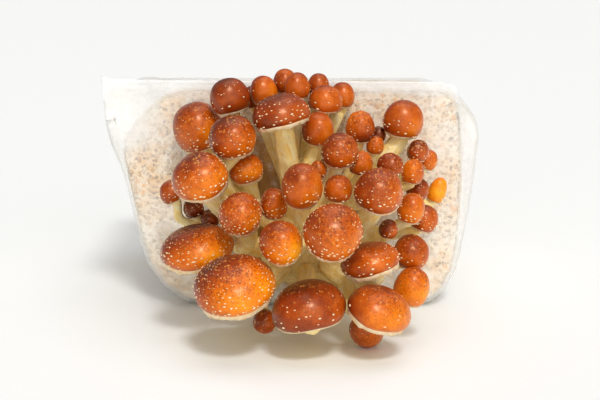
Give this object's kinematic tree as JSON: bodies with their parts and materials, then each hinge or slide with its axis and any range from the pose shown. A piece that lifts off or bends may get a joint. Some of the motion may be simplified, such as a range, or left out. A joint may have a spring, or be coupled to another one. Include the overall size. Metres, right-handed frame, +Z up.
{
  "type": "chestnut mushroom grow block",
  "caption": "Bagged sawdust grow block with a fan of chestnut mushrooms, round buttons to open caps, fruiting from an opening in the front of the clear film bag.",
  "frame": {"origin": "middle of the block's flat underside, on the surface that it stands on", "axes": "+Z up, front with the mushrooms towards -Y, +X to the right as seen from the front"},
  "size_m": [0.2086, 0.2552, 0.1381],
  "materials": {
    "film": "milky clear film",
    "substrate": "sawdust knit with mycelium",
    "stem_flesh": "fibrous, matte",
    "cap_skin": "moist, glossy, with pale scales"
  },
  "bodies": {
    "root": {"grow_bag": "film", "substrate_block": "substrate", "cluster_base": "stem_flesh", "stems_top": "stem_flesh", "stems_upper_left": "stem_flesh", "stems_left": "stem_flesh", "stems_lower_left": "stem_flesh", "stems_front": "stem_flesh", "stems_lower": "stem_flesh", "stems_lower_right": "stem_flesh", "stems_right": "stem_flesh", "stems_upper_right": "stem_flesh", "cap_top_1": "cap_skin", "cap_top_2": "cap_skin", "cap_top_3": "cap_skin", "cap_top_4": "cap_skin", "cap_top_5": "cap_skin", "cap_top_6": "cap_skin", "cap_top_7": "cap_skin", "cap_top_8": "cap_skin", "cap_top_9": "cap_skin", "cap_upper_left_1": "cap_skin", "cap_upper_left_2": "cap_skin", "cap_upper_left_3": "cap_skin", "cap_left_1": "cap_skin", "cap_left_2": "cap_skin", "cap_left_3": "cap_skin", "cap_left_4": "cap_skin", "cap_left_5": "cap_skin", "cap_left_6": "cap_skin", "cap_lower_left_1": "cap_skin", "cap_lower_left_2": "cap_skin", "cap_lower_left_3": "cap_skin", "cap_front_1": "cap_skin", "cap_front_2": "cap_skin", "cap_front_3": "cap_skin", "cap_front_4": "cap_skin", "cap_front_5": "cap_skin", "cap_lower_1": "cap_skin", "cap_lower_right_1": "cap_skin", "cap_lower_right_2": "cap_skin", "cap_lower_right_3": "cap_skin", "cap_lower_right_4": "cap_skin", "cap_right_1": "cap_skin", "cap_right_2": "cap_skin", "cap_right_3": "cap_skin", "cap_right_4": "cap_skin", "cap_upper_right_1": "cap_skin", "cap_upper_right_2": "cap_skin", "cap_upper_right_3": "cap_skin", "cap_upper_right_4": "cap_skin", "cap_upper_right_5": "cap_skin", "cap_upper_right_6": "cap_skin", "cap_upper_right_7": "cap_skin", "cap_upper_right_8": "cap_skin", "cap_upper_right_9": "cap_skin"}
  },
  "joints": []
}
